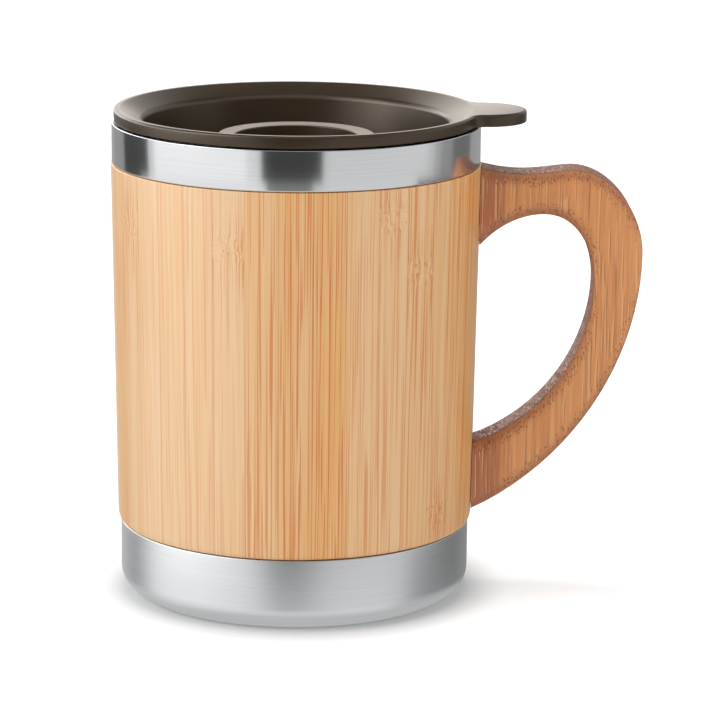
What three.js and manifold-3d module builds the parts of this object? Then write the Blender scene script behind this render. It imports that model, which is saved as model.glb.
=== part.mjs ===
// Insulated mug: two steel walls, a bamboo sleeve and handle, and a plastic lid with a turning dial.
// Millimetres, +Z up. The origin is the middle of the foot's underside, and the handle points along +X.

import * as THREE from 'three';
import { mergeVertices } from 'three/addons/utils/BufferGeometryUtils.js';
import Module from 'manifold-3d';

// Clearance and fineness
const GAP = 0.3; // between two pieces that meet
const SIDES = 40; // facets round a turned piece
const SCREW_SIDES = 16; // facets round a screw
const BEND_STEPS = 2; // chords in a small sheet bend
const CORNER_STEPS = 4; // chords in a large round corner
const CURVE_STEPS = 9; // chords in each curve of the handle
const EDGE_STEPS = 2; // chords in the handle's rounded edge

// Bamboo sleeve
const SLEEVE_LENGTH = 83.5;
const SLEEVE_TOP_R = 42.5;
const SLEEVE_TAPER = 1.25; // narrower at its foot, on the radius
const SLEEVE_WALL = 3;
const SLEEVE_FOOT_IN = 0.65; // lower edge rounded in by this
const SLEEVE_FOOT_UP = 2; // over this height
const SLEEVE_TOP_EDGE = 0.3; // chamfer of the upper edge

// Steel foot
const FOOT_HEIGHT = 17.1; // table to the sleeve's lower edge
const FOOT_STEP = 0.65; // the sleeve stands proud of the foot by this
const FOOT_CORNER = 5.4; // round lower corner
const FOOT_SHEET = 0.6;
const SPIGOT_HEIGHT = 9; // collar inside the outer wall

// Outer wall with its polished band
const SHEET = 0.5;
const BEND = 0.6; // outside radius of the small bends
const BAND_HEIGHT = 9.3; // sleeve's upper edge to the rim
const BAND_STEP = 0.2; // the sleeve stands proud of the band by this
const BAND_SHOULDER = 0.8; // round upper edge
const RIM_FLAT = 0.3; // flat of the band's top, out from the seam at the rim

// Inner cup
const MOUTH_AIR = 0.5; // air between the walls beside the lid's plug
const MOUTH_SPARE = 2; // straight mouth below the lid's plug
const LIP_BEND = 1.2; // round of the drinking edge
const SHOULDER = 2.4; // step in below the mouth
const CUP_TAPER = 1.4; // narrower at its floor, on the radius
const CUP_CORNER = 8;
const CUP_LIFT = 4.9; // air between the foot and the cup

// Handle, out from the sleeve's upper side and up or down from its edges
const HANDLE_THICK = 11;
const HANDLE_EDGE = 1; // rounded edge
const HANDLE_REACH = 37.3; // to the outermost point
const HANDLE_GRIP = 11.1; // width of the board there
const HANDLE_CREST = 21.1; // out to the highest point of the upper arm
const HANDLE_DROP = 1; // that point below the sleeve's upper edge
const HANDLE_ARM = 10.3; // depth of the upper arm
const HANDLE_EYE = 14.5; // out to the highest point of the finger opening
const HANDLE_FALL = 19.7; // highest point down to the outermost
const EYE_FALL = 15.7; // the same of the finger opening
const UPPER_ROOT_DROP = 0.2; // upper joint below the sleeve's upper edge
const UPPER_ROOT = 20.1; // height of the upper joint
const LOWER_ROOT_RISE = 2.1; // lower joint above the sleeve's lower edge
const LOWER_ROOT = 15.8; // height of the lower joint
const ROOT_IN = 1.5; // the curves start this far inside the sleeve's side
const ROOT_TAIL = 4; // straight length before the curves, cut off by the sleeve
const DIP_PULL = [11, -3.4]; // how far each end of a curve keeps its direction
const CREST_PULL = [5.3, 8.3];
const REACH_PULL = [10.3, 23.7];
const OUTER_TAIL_PULL = [24.7, 12.1];
const EYE_TAIL_PULL = [19.2, 7.2];
const EYE_SIDE_PULL = [5.9, 13.9];
const EYE_TOP_PULL = [6.3, 8.6];
const EYE_ROOT_PULL = [3.5, 5.1];

// Handle screws
const SCREW_LENGTH = 14;
const SCREW_R = 1.75;
const SCREW_TIP = 3;
const HEAD_R = 3.3;
const HEAD_DEPTH = 1.7;
const HEAD_SINK = 0.2; // head below the sleeve's bore
const DRIVE_R = 1.3; // drive recess
const DRIVE_DEPTH = 1;
const LOWER_SCREW_RISE = 11.1; // lower screw above the lower joint's edge

// Lid
const LID_THICK = 2.8; // rim to crest
const LID_STEP = 0.1; // the band stands proud of the flange by this
const LID_EDGE = 0.7; // round of the flange's edges
const CREST_FLAT = 0.5;
const LIP_DROP = 2.6; // fall of the sloped lip
const DISH_EDGE = 0.8; // round where the slope meets the dish
const DISH_DEPTH = 13.7; // crest to the dish's floor
const DISH_DRAFT = 1; // narrower at its floor, on the radius
const DISH_FILLET = 1.2;
const FLOOR_THICK = 1.8;
const PLUG_CLEARANCE = 0.8; // round the plug, inside the mouth
const PLUG_WALL = 1.8;
const PLUG_CHAMFER = 0.8;
const SKIRT_LIP = 1.2; // plug's wall below the shutter
const TAB_LENGTH = 10.55; // flange to the thumb tab's tip
const TAB_HALF = 9.8; // half its width
const TAB_FILLET = 3; // hollow corners where it leaves the flange
const TAB_EDGE = 0.4;
const SIP_LENGTH = 12;
const SIP_WIDTH = 5.4;

// Seal
const SEAL_HEIGHT = 2.4;
const SEAL_SEAT = 1; // depth of its groove
const SEAL_DROP = 7; // flange down to its groove
const SEAL_WAIST = 0.6; // the lips stand proud of the ring by this
const SEAL_LIP = 0.35; // height of a lip's slope

// Dial and shutter
const DIAL_R = 19.65;
const DIAL_RIM = 4.85; // width of the raised ring
const DIAL_HEIGHT = 6.95;
const DIAL_WALL = 1.6;
const DIAL_PLATE = 1.4;
const DIAL_EDGE = 0.7;
const BAR_WIDTH = 5; // finger bar across the dial
const BAR_DROP = 0.6; // its top below the ring's
const BAR_EDGE = 1;
const HUB_R = 4;
const DRIVE_SIDE = 5.4; // square that turns the shutter
const SNAP_LIP = 0.5; // snap head past the square's corners
const SNAP_HEIGHT = 1.6;
const SNAP_TAPER = 1;
const SNAP_SLOT = 1.2;
const SHUTTER_THICK = 1.4;
const SHUTTER_CLEARANCE = 0.6;
const SHUTTER_MARGIN = 0.4; // shutter's slot past the drinking slot

// Levels up the axis
const sleeveTop = FOOT_HEIGHT + SLEEVE_LENGTH;
const rim = sleeveTop + BAND_HEIGHT;
const flange = rim + GAP;
const crest = flange + LID_THICK;
const dishFloor = crest - DISH_DEPTH;
const floorUnder = dishFloor - FLOOR_THICK;
const shutterTop = floorUnder - GAP;
const shutterUnder = shutterTop - SHUTTER_THICK;
const plugUnder = shutterUnder - SKIRT_LIP;
const dialUnder = dishFloor + GAP;
const dialTop = dialUnder + DIAL_HEIGHT;

// Radii out from the axis
const sleeveR = (z) => SLEEVE_TOP_R - (SLEEVE_TAPER * (sleeveTop - z)) / SLEEVE_LENGTH;
const boreR = (z) => sleeveR(z) - SLEEVE_WALL;
const waistR = (z) => boreR(z) - GAP;
const spigotR = (z) => waistR(z) - SHEET - GAP;
const footR = sleeveR(FOOT_HEIGHT) - FOOT_STEP;
const bandR = SLEEVE_TOP_R - BAND_STEP;
const rimSeam = bandR - BAND_SHOULDER - RIM_FLAT;
const mouthFloor = plugUnder - MOUTH_SPARE;
const mouthR = waistR(mouthFloor) - SHEET - MOUTH_AIR - SHEET;
const plugR = mouthR - PLUG_CLEARANCE;
const lidR = bandR - LID_STEP;
const dishR = plugR - PLUG_WALL;
const dishFloorR = dishR - DISH_DRAFT;
const hubHoleR = HUB_R + GAP;
const sipR = (DIAL_R + dishFloorR) / 2;

// Materials
const metal = (color, roughness) => new THREE.MeshStandardMaterial({ color, roughness, metalness: 1 });
const matte = (color, roughness) => new THREE.MeshStandardMaterial({ color, roughness, metalness: 0 });
const polishedSteel = metal(0xd2d4d6, 0.14);
const satinSteel = metal(0xb9bcbe, 0.34);
const screwSteel = metal(0x9fa2a6, 0.3);
const paleBamboo = matte(0xdbac72, 0.5);
const caramelBamboo = matte(0xb9783f, 0.5);
const brownPlastic = matte(0x493f35, 0.42);
const greySilicone = matte(0x8f8c88, 0.7);

const wasm = await Module();
wasm.setup();

// A round corner's points from one angle to another, in degrees
function arc(centreR, centreZ, radius, from, to, steps) {
  const points = [];
  for (let i = 0; i <= steps; i += 1) {
    const angle = THREE.MathUtils.degToRad(from + ((to - from) * i) / steps);
    points.push([centreR + radius * Math.cos(angle), centreZ + radius * Math.sin(angle)]);
  }
  return points;
}

// A path moved sideways to its left, with its corners kept sharp
function offset(path, distance) {
  return path.map((point, i) => {
    const normals = [];
    for (const [a, b] of [[path[i - 1], point], [point, path[i + 1]]]) {
      if (a && b) {
        const length = Math.hypot(b[0] - a[0], b[1] - a[1]);
        normals.push([(a[1] - b[1]) / length, (b[0] - a[0]) / length]);
      }
    }
    const first = normals[0];
    const last = normals[normals.length - 1];
    const scale = distance / (1 + first[0] * last[0] + first[1] * last[1]);
    return [point[0] + (first[0] + last[0]) * scale, point[1] + (first[1] + last[1]) * scale];
  });
}

// A sheet's closed profile from the path of its outer face, or of its inner face
const sheetInside = (outerFace, sheet) => [...outerFace, ...offset(outerFace, sheet).reverse()];
const sheetOutside = (innerFace, sheet) => [...offset(innerFace, -sheet), ...innerFace.slice().reverse()];

// A profile of radius and height turned round Z
function turned(profile, sides = SIDES) {
  const points = profile.map(([r, z]) => new THREE.Vector2(r, z));
  const onAxis = points[0].x === 0 && points[points.length - 1].x === 0;
  if (!onAxis) points.push(points[0].clone());
  return new THREE.LatheGeometry(points, sides).rotateX(Math.PI / 2);
}

// A shape on XY raised between two levels
function raised(shape, low, high, curveSegments = CORNER_STEPS) {
  const settings = { depth: high - low, bevelEnabled: false, curveSegments };
  return new THREE.ExtrudeGeometry(shape, settings).translate(0, 0, low);
}

// A closed solid of a geometry's triangles, its shared corners merged
function solid(geometry) {
  geometry.deleteAttribute('normal');
  geometry.deleteAttribute('uv');
  const merged = mergeVertices(geometry);
  const index = merged.index.array;
  const triangles = [];
  for (let i = 0; i < index.length; i += 3) {
    const [a, b, c] = [index[i], index[i + 1], index[i + 2]];
    if (a !== b && b !== c && c !== a) triangles.push(a, b, c);
  }
  const vertProperties = merged.attributes.position.array;
  return new wasm.Manifold(new wasm.Mesh({ numProp: 3, vertProperties, triVerts: Uint32Array.from(triangles) }));
}

function piece(name, body, material) {
  const { vertProperties, triVerts } = body.getMesh();
  const geometry = new THREE.BufferGeometry();
  geometry.setAttribute('position', new THREE.BufferAttribute(vertProperties, 3));
  geometry.setIndex(new THREE.BufferAttribute(triVerts, 1));
  geometry.computeVertexNormals();
  const mesh = new THREE.Mesh(geometry, material);
  mesh.name = name;
  return mesh;
}

// Foot: a drawn cup with a ledge for the sleeve and a collar that plugs the outer wall
function baseCup() {
  const ledge = FOOT_HEIGHT - GAP;
  const collar = spigotR(ledge);
  const top = FOOT_HEIGHT + SPIGOT_HEIGHT;
  const face = [
    [0, 0],
    ...arc(footR - FOOT_CORNER, FOOT_CORNER, FOOT_CORNER, -90, 0, CORNER_STEPS),
    ...arc(footR - BEND, ledge - BEND, BEND, 0, 90, BEND_STEPS),
    ...arc(collar + BEND, ledge + BEND, BEND, 270, 180, BEND_STEPS),
    [spigotR(top), top],
  ];
  return solid(turned(sheetInside(face, FOOT_SHEET)));
}

// Outer wall: a waist behind the sleeve that steps out into the polished band
function outerShell() {
  const step = sleeveTop + GAP;
  const waist = waistR(step);
  const face = [
    [waistR(FOOT_HEIGHT), FOOT_HEIGHT],
    ...arc(waist + BEND, step - BEND, BEND, 180, 90, BEND_STEPS),
    ...arc(bandR - BEND, step + BEND, BEND, 270, 360, BEND_STEPS),
    ...arc(bandR - BAND_SHOULDER, rim - BAND_SHOULDER, BAND_SHOULDER, 0, 90, BEND_STEPS),
    [rimSeam + GAP / 2, rim],
  ];
  return solid(turned(sheetInside(face, SHEET)));
}

// Inner cup: a tapered cup with a wider mouth for the lid and a lip that meets the band
function innerCup() {
  const floor = FOOT_SHEET + CUP_LIFT + SHEET;
  const topR = mouthR - SHOULDER;
  const floorR = topR - CUP_TAPER;
  const face = [
    [0, floor],
    ...arc(floorR - CUP_CORNER, floor + CUP_CORNER, CUP_CORNER, -90, 0, CORNER_STEPS),
    [topR, mouthFloor - SHOULDER],
    [mouthR, mouthFloor],
    ...arc(mouthR + LIP_BEND, rim - LIP_BEND, LIP_BEND, 180, 90, BEND_STEPS),
    [rimSeam - GAP / 2, rim],
  ];
  return solid(turned(sheetOutside(face, SHEET)));
}

// Levels of the two handle screws, in the middle of the handle's arms
const screwLevels = {
  upper: sleeveTop - HANDLE_DROP - HANDLE_ARM / 2,
  lower: FOOT_HEIGHT + LOWER_ROOT_RISE + LOWER_SCREW_RISE,
};

// A profile turned round a screw's own axis, with its start at the head's face
function alongScrew(profile, level) {
  const geometry = turned(profile, SCREW_SIDES).rotateY(Math.PI / 2);
  return solid(geometry.translate(boreR(level) + HEAD_SINK, 0, level));
}

function handleScrew(level) {
  return alongScrew([
    [0, DRIVE_DEPTH],
    [DRIVE_R, 0],
    [HEAD_R, 0],
    [SCREW_R, HEAD_DEPTH],
    [SCREW_R, SCREW_LENGTH - SCREW_TIP],
    [0, SCREW_LENGTH],
  ], level);
}

// The countersunk hole that a screw needs, open into the sleeve's bore
function screwRoom(level) {
  return alongScrew([
    [0, -SLEEVE_WALL],
    [HEAD_R + GAP, -SLEEVE_WALL],
    [HEAD_R + GAP, 0],
    [SCREW_R + GAP, HEAD_DEPTH],
    [SCREW_R + GAP, SCREW_LENGTH + GAP],
    [0, SCREW_LENGTH + GAP],
  ], level);
}

function cutForScrews(body) {
  return Object.values(screwLevels).reduce((cut, level) => cut.subtract(screwRoom(level)), body);
}

// Sleeve: a tapered bamboo tube, rounded at its foot
function bambooSleeve() {
  const footEdge = FOOT_HEIGHT + SLEEVE_FOOT_UP;
  const foot = arc(0, 0, 1, -90, 0, CORNER_STEPS).map(([x, y]) => [
    sleeveR(footEdge) + (x - 1) * SLEEVE_FOOT_IN,
    footEdge + y * SLEEVE_FOOT_UP,
  ]);
  const profile = [
    [boreR(FOOT_HEIGHT), FOOT_HEIGHT],
    ...foot,
    [sleeveR(sleeveTop - SLEEVE_TOP_EDGE), sleeveTop - SLEEVE_TOP_EDGE],
    [SLEEVE_TOP_R - SLEEVE_TOP_EDGE, sleeveTop],
    [boreR(sleeveTop), sleeveTop],
  ];
  return cutForScrews(solid(turned(profile)));
}

// Handle's outline on XZ: over the outside from the upper joint to the lower, and back round the opening
function handleOutline() {
  const out = (distance) => SLEEVE_TOP_R + distance;
  const start = out(-ROOT_IN);
  const top = sleeveTop - HANDLE_DROP;
  const eyeTop = top - HANDLE_ARM;
  const reach = out(HANDLE_REACH);
  const eyeReach = reach - HANDLE_GRIP;
  const widest = top - HANDLE_FALL;
  const eyeWidest = eyeTop - EYE_FALL;
  const upperRoot = sleeveTop - UPPER_ROOT_DROP;
  const upperRootUnder = upperRoot - UPPER_ROOT;
  const lowerRoot = FOOT_HEIGHT + LOWER_ROOT_RISE;
  const lowerRootTop = lowerRoot + LOWER_ROOT;
  const [dipX, dipZ] = DIP_PULL;
  const [tailX, tailZ] = OUTER_TAIL_PULL;
  const [eyeTailX, eyeTailZ] = EYE_TAIL_PULL;
  const [eyeRootX, eyeRootZ] = EYE_ROOT_PULL;
  const tail = (z, x, rise) => [start - ROOT_TAIL, z - (ROOT_TAIL * rise) / x];

  const outline = new THREE.Shape();
  outline.moveTo(...tail(upperRootUnder, eyeRootX, eyeRootZ));
  outline.lineTo(...tail(upperRoot, dipX, dipZ));
  outline.lineTo(start, upperRoot);
  outline.bezierCurveTo(
    start + dipX, upperRoot + dipZ, out(HANDLE_CREST) - CREST_PULL[0], top, out(HANDLE_CREST), top);
  outline.bezierCurveTo(out(HANDLE_CREST) + CREST_PULL[1], top, reach, widest + REACH_PULL[0], reach, widest);
  outline.bezierCurveTo(reach, widest - REACH_PULL[1], start + tailX, lowerRoot + tailZ, start, lowerRoot);
  outline.lineTo(...tail(lowerRoot, tailX, tailZ));
  outline.lineTo(...tail(lowerRootTop, eyeTailX, eyeTailZ));
  outline.lineTo(start, lowerRootTop);
  outline.bezierCurveTo(
    start + eyeTailX, lowerRootTop + eyeTailZ, eyeReach, eyeWidest - EYE_SIDE_PULL[1], eyeReach, eyeWidest);
  outline.bezierCurveTo(
    eyeReach, eyeWidest + EYE_SIDE_PULL[0], out(HANDLE_EYE) + EYE_TOP_PULL[1], eyeTop, out(HANDLE_EYE), eyeTop);
  outline.bezierCurveTo(
    out(HANDLE_EYE) - EYE_TOP_PULL[0], eyeTop, start + eyeRootX, upperRootUnder + eyeRootZ, start, upperRootUnder);
  outline.closePath();
  return outline;
}

// Handle: a bamboo board with rounded edges, hollowed at its ends to sit on the sleeve
function handle() {
  const board = new THREE.ExtrudeGeometry(handleOutline(), {
    depth: HANDLE_THICK - 2 * HANDLE_EDGE,
    curveSegments: CURVE_STEPS,
    bevelThickness: HANDLE_EDGE,
    bevelSize: HANDLE_EDGE,
    bevelOffset: -HANDLE_EDGE,
    bevelSegments: EDGE_STEPS,
  });
  board.translate(0, 0, HANDLE_EDGE - HANDLE_THICK / 2).rotateX(Math.PI / 2);
  const low = FOOT_HEIGHT - SLEEVE_WALL;
  const high = sleeveTop + SLEEVE_WALL;
  const sleeveRoom = solid(turned([[0, low], [sleeveR(low) + GAP, low], [sleeveR(high) + GAP, high], [0, high]]));
  return cutForScrews(solid(board).subtract(sleeveRoom));
}

// A slot with round ends, its length along Y
function slotShape(centreX, length, width) {
  const r = width / 2;
  const straight = length / 2 - r;
  const shape = new THREE.Shape();
  shape.absarc(centreX, straight, r, 0, Math.PI, false);
  shape.absarc(centreX, -straight, r, Math.PI, 2 * Math.PI, false);
  shape.closePath();
  return shape;
}

// Thumb tab: a tongue with an elliptical end and hollow corners at the flange
function lidTab() {
  const cornerY = TAB_HALF + TAB_FILLET;
  const cornerX = Math.sqrt((lidR + TAB_FILLET) ** 2 - cornerY ** 2);
  const turn = Math.atan2(cornerY, cornerX);
  const inner = lidR - LID_EDGE - TAB_EDGE;
  const shape = new THREE.Shape();
  shape.moveTo(inner * Math.cos(turn), -inner * Math.sin(turn));
  shape.absarc(cornerX, -cornerY, TAB_FILLET, Math.PI - turn, Math.PI / 2, true);
  shape.absellipse(cornerX, 0, lidR + TAB_LENGTH - cornerX, TAB_HALF, -Math.PI / 2, Math.PI / 2, false);
  shape.absarc(cornerX, cornerY, TAB_FILLET, -Math.PI / 2, turn - Math.PI, true);
  shape.absarc(0, 0, inner, turn, -turn, true);
  const tongue = new THREE.ExtrudeGeometry(shape, {
    depth: LID_THICK - 2 * TAB_EDGE,
    curveSegments: CURVE_STEPS,
    bevelThickness: TAB_EDGE,
    bevelSize: TAB_EDGE,
    bevelOffset: -TAB_EDGE,
    bevelSegments: 1,
  });
  return solid(tongue.translate(0, 0, flange + TAB_EDGE));
}

// Groove round the plug for the seal
const groove = { top: flange - SEAL_DROP, r: plugR - SEAL_SEAT };
groove.under = groove.top - SEAL_HEIGHT - 2 * GAP;

// Lid: flange, sloped lip, deep dish and plug in one moulding, with a hole for the dial's hub
function lidBody() {
  const crestInner = lidR - LID_EDGE - CREST_FLAT;
  const dishTop = crest - LIP_DROP;
  const profile = [
    [hubHoleR, floorUnder],
    [dishR, floorUnder],
    [dishR, plugUnder],
    [plugR - PLUG_CHAMFER, plugUnder],
    [plugR, plugUnder + PLUG_CHAMFER],
    [plugR, groove.under],
    [groove.r, groove.under],
    [groove.r, groove.top],
    [plugR, groove.top],
    [plugR, flange - LID_EDGE],
    [plugR + LID_EDGE, flange],
    [lidR - LID_EDGE / 2, flange],
    [lidR, flange + LID_EDGE / 2],
    ...arc(lidR - LID_EDGE, crest - LID_EDGE, LID_EDGE, 0, 90, BEND_STEPS),
    [crestInner, crest],
    [dishR + DISH_EDGE, dishTop + (DISH_EDGE * LIP_DROP) / (crestInner - dishR)],
    [dishR, dishTop - DISH_EDGE],
    [dishFloorR, dishFloor + DISH_FILLET],
    [dishFloorR - DISH_FILLET, dishFloor],
    [hubHoleR, dishFloor],
  ];
  const sip = solid(raised(slotShape(-sipR, SIP_LENGTH, SIP_WIDTH), floorUnder - GAP, dishFloor + GAP));
  return solid(turned(profile)).add(lidTab()).subtract(sip);
}

// Seal: a silicone ring with two lips
function lidSeal() {
  const inner = groove.r + GAP;
  const outer = mouthR - GAP;
  const waist = outer - SEAL_WAIST;
  const low = groove.under + GAP;
  const high = groove.top - GAP;
  return solid(turned([
    [inner, low],
    [waist, low],
    [outer, low + SEAL_LIP],
    [waist, (low + high) / 2],
    [outer, high - SEAL_LIP],
    [waist, high],
    [inner, high],
  ]));
}

const square = (side) => new THREE.Shape([
  new THREE.Vector2(-side / 2, -side / 2),
  new THREE.Vector2(side / 2, -side / 2),
  new THREE.Vector2(side / 2, side / 2),
  new THREE.Vector2(-side / 2, side / 2),
]);

// Dial: a plate with a hollow raised ring, a finger bar, and a hub that snaps into the shutter
function turnDial() {
  const ringInner = DIAL_R - DIAL_RIM;
  const plateTop = dialUnder + DIAL_PLATE;
  const hubUnder = shutterTop + GAP / 2;
  const snapTop = shutterUnder - GAP;
  const snapUnder = snapTop - SNAP_HEIGHT;
  const snapR = (DRIVE_SIDE / 2 + GAP) * Math.SQRT2 + SNAP_LIP;
  const plate = solid(turned([
    [0, hubUnder],
    [HUB_R, hubUnder],
    [HUB_R, dialUnder],
    [ringInner + DIAL_WALL, dialUnder],
    [ringInner + DIAL_WALL, dialTop - DIAL_WALL],
    [DIAL_R - DIAL_WALL, dialTop - DIAL_WALL],
    [DIAL_R - DIAL_WALL, dialUnder],
    [DIAL_R, dialUnder],
    ...arc(DIAL_R - DIAL_EDGE, dialTop - DIAL_EDGE, DIAL_EDGE, 0, 90, BEND_STEPS),
    ...arc(ringInner + DIAL_EDGE, dialTop - DIAL_EDGE, DIAL_EDGE, 90, 180, BEND_STEPS),
    [ringInner, plateTop],
    [0, plateTop],
  ]));

  const half = BAR_WIDTH / 2;
  const barTop = dialTop - BAR_DROP;
  const section = new THREE.Shape();
  section.moveTo(-half, dialUnder);
  section.lineTo(half, dialUnder);
  section.absarc(half - BAR_EDGE, barTop - BAR_EDGE, BAR_EDGE, 0, Math.PI / 2, false);
  section.absarc(BAR_EDGE - half, barTop - BAR_EDGE, BAR_EDGE, Math.PI / 2, Math.PI, false);
  section.closePath();
  const barEnd = ringInner + DIAL_WALL / 2;
  const bar = raised(section, -barEnd, barEnd).rotateX(Math.PI / 2).rotateZ(Math.PI / 2);

  const drive = raised(square(DRIVE_SIDE), snapUnder + SNAP_HEIGHT / 2, hubUnder + GAP);
  const snap = turned([[0, snapUnder], [snapR - SNAP_TAPER, snapUnder], [snapR, snapTop], [0, snapTop]]);
  const slot = new THREE.BoxGeometry(SNAP_SLOT, 4 * snapR, 2 * (shutterTop - snapUnder));
  slot.translate(0, 0, snapUnder);
  return plate.add(solid(bar)).add(solid(drive)).add(solid(snap)).subtract(solid(slot));
}

// Shutter: a disc on the dial's square, with a slot that lines up with the drinking slot at rest
function shutterDisc() {
  const edge = dishR - SHUTTER_CLEARANCE;
  const disc = solid(turned([[0, shutterUnder], [edge, shutterUnder], [edge, shutterTop], [0, shutterTop]]));
  const low = shutterUnder - GAP;
  const high = shutterTop + GAP;
  const length = SIP_LENGTH + 2 * SHUTTER_MARGIN;
  const width = SIP_WIDTH + 2 * SHUTTER_MARGIN;
  const drive = solid(raised(square(DRIVE_SIDE + 2 * GAP), low, high));
  return disc.subtract(solid(raised(slotShape(-sipR, length, width), low, high))).subtract(drive);
}

const cup = new THREE.Group();
cup.add(
  piece('base_cup', baseCup(), satinSteel),
  piece('outer_shell', outerShell(), polishedSteel),
  piece('inner_cup', innerCup(), satinSteel),
  piece('bamboo_sleeve', bambooSleeve(), paleBamboo),
  piece('handle', handle(), caramelBamboo),
);
for (const [place, level] of Object.entries(screwLevels)) {
  cup.add(piece(`handle_screw_${place}`, handleScrew(level), screwSteel));
}

const lid = new THREE.Group();
lid.add(
  piece('lid_body', lidBody(), brownPlastic),
  piece('lid_seal', lidSeal(), greySilicone),
);

const dial = new THREE.Group();
dial.add(
  piece('turn_dial', turnDial(), brownPlastic),
  piece('shutter_disc', shutterDisc(), brownPlastic),
);

lid.add(dial);
const mug = new THREE.Group();
mug.add(cup, lid);

export default mug;
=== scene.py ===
# Lidded steel mug with a bamboo sleeve and handle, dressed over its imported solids.
# The pieces' dictionaries are in millimetres, the studio's in metres. The handle points along +X.
import math

import bmesh
import bpy
from mathutils import Matrix, Vector
from mathutils.geometry import interpolate_bezier


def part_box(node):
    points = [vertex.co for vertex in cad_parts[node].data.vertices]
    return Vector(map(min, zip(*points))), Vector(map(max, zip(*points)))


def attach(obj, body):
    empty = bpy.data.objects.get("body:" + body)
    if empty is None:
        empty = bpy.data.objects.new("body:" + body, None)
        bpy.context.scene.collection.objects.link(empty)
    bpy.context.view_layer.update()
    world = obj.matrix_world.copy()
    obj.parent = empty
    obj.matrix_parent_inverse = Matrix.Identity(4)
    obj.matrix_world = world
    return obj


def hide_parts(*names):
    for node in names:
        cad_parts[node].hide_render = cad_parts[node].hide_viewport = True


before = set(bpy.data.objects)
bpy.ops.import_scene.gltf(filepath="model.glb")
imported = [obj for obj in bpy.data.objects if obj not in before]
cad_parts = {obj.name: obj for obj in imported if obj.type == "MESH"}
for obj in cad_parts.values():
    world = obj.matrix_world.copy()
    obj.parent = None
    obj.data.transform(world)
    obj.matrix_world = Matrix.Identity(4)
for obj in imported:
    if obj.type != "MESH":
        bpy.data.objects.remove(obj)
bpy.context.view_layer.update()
scene = bpy.context.scene
mm = 0.001
gap = 0.3  # clearance between pieces that meet
past = 1.0  # how far a cutting tool reaches past what it cuts
hair = 0.01  # flat that is left between two rounds


def span(node):
    low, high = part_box(node)
    return low / mm, high / mm


print("frame loaded:", len(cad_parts), "nodes")


# Shader maths

class Wire:
    # a socket of a node tree, where sums and products add Math nodes
    def __init__(self, tree, socket=None):
        self.tree = tree
        self.socket = socket

    def node(self, kind, settings=(), inputs=(), out=0):
        made = self.tree.nodes.new("ShaderNode" + kind)
        for key, value in dict(settings).items():
            setattr(made, key, value)
        for key, value in dict(inputs).items():
            if isinstance(value, Wire):
                self.tree.links.new(value.socket, made.inputs[key])
            else:
                made.inputs[key].default_value = value
        return Wire(self.tree, made.outputs[out])

    def other(self, out):
        return Wire(self.tree, self.socket.node.outputs[out])

    def maths(self, operation, *values):
        return self.node("Math", {"operation": operation}, dict(enumerate(values)))

    def __add__(self, value):
        return self.maths("ADD", self, value)

    def __radd__(self, value):
        return self.maths("ADD", value, self)

    def __sub__(self, value):
        return self.maths("SUBTRACT", self, value)

    def __rsub__(self, value):
        return self.maths("SUBTRACT", value, self)

    def __mul__(self, value):
        return self.maths("MULTIPLY", self, value)

    def __rmul__(self, value):
        return self.maths("MULTIPLY", value, self)

    def __truediv__(self, value):
        return self.maths("DIVIDE", self, value)

    def __rtruediv__(self, value):
        return self.maths("DIVIDE", value, self)

    def __abs__(self):
        return self.maths("ABSOLUTE", self)

    def scaled(self, x, y, z):
        return self.node("VectorMath", {"operation": "MULTIPLY"}, {0: self, 1: (x, y, z)})

    def moved(self, vector):
        return self.node("VectorMath", {"operation": "ADD"}, {0: self, 1: vector})

    def noise(self, detail=2.0, roughness=0.5):
        inputs = {"Vector": self, "Scale": 1.0, "Detail": detail, "Roughness": roughness}
        return self.node("TexNoise", {}, inputs)

    def rise(self, low, high):
        # 0 at low and 1 at high, eased
        settings = {"interpolation_type": "SMOOTHSTEP"}
        return self.node("MapRange", settings, {"Value": self, "From Min": low, "From Max": high})

    def mix(self, first, second):
        # two colours, by this value
        return self.node("Mix", {"data_type": "RGBA"}, {0: self, 6: first, 7: second}, out=2)

    def bump(self, strength, depth):
        return self.node("Bump", {}, {"Strength": strength, "Distance": depth * mm, "Height": self})


def colour(red, green, blue):
    # written as on a screen, 0 to 255
    linear = []
    for value in (red, green, blue):
        share = value / 255
        linear.append(share / 12.92 if share <= 0.04045 else ((share + 0.055) / 1.055) ** 2.4)
    return (*linear, 1.0)


def newFinish(name, constants):
    material = bpy.data.materials.new(name)
    material.use_nodes = True
    shader = material.node_tree.nodes["Principled BSDF"]
    for socket, value in constants.items():
        shader.inputs[socket].default_value = value
    tree = Wire(material.node_tree)
    place = tree.node("TexCoord", out="Object").scaled(1 / mm, 1 / mm, 1 / mm)
    return material, shader, place


def feed(shader, links):
    for socket, wire in links.items():
        wire.tree.links.new(wire.socket, shader.inputs[socket])


# Finishes

steelLook = {
    "lines": 7.0,  # brush lines to a millimetre
    "run": 0.03,  # how fast a line changes along its way round
    "clouds": (0.06, 0.06, 0.06),
    "cloudy": 0.06,  # how far the clouds change the roughness
    "darker": 0.9,  # share of the colour that a dark line keeps
    "bump": 0.25,
}


def brushedSteel(name, tint, roughness, brush, depth):
    look = steelLook
    material, shader, place = newFinish(name, {"Metallic": 1.0})
    lines = place.scaled(look["run"], look["run"], look["lines"]).noise(4.0, 0.6)
    clouds = place.scaled(*look["clouds"]).noise(3.0)
    darker = [channel * look["darker"] for channel in tint[:3]] + [1.0]
    feed(shader, {
        "Base Color": lines.rise(0.2, 0.75).mix(darker, tint),
        "Roughness": (lines - 0.5) * brush + (clouds - 0.5) * look["cloudy"] + roughness,
        "Normal": lines.bump(look["bump"], depth),
    })
    return material


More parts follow.
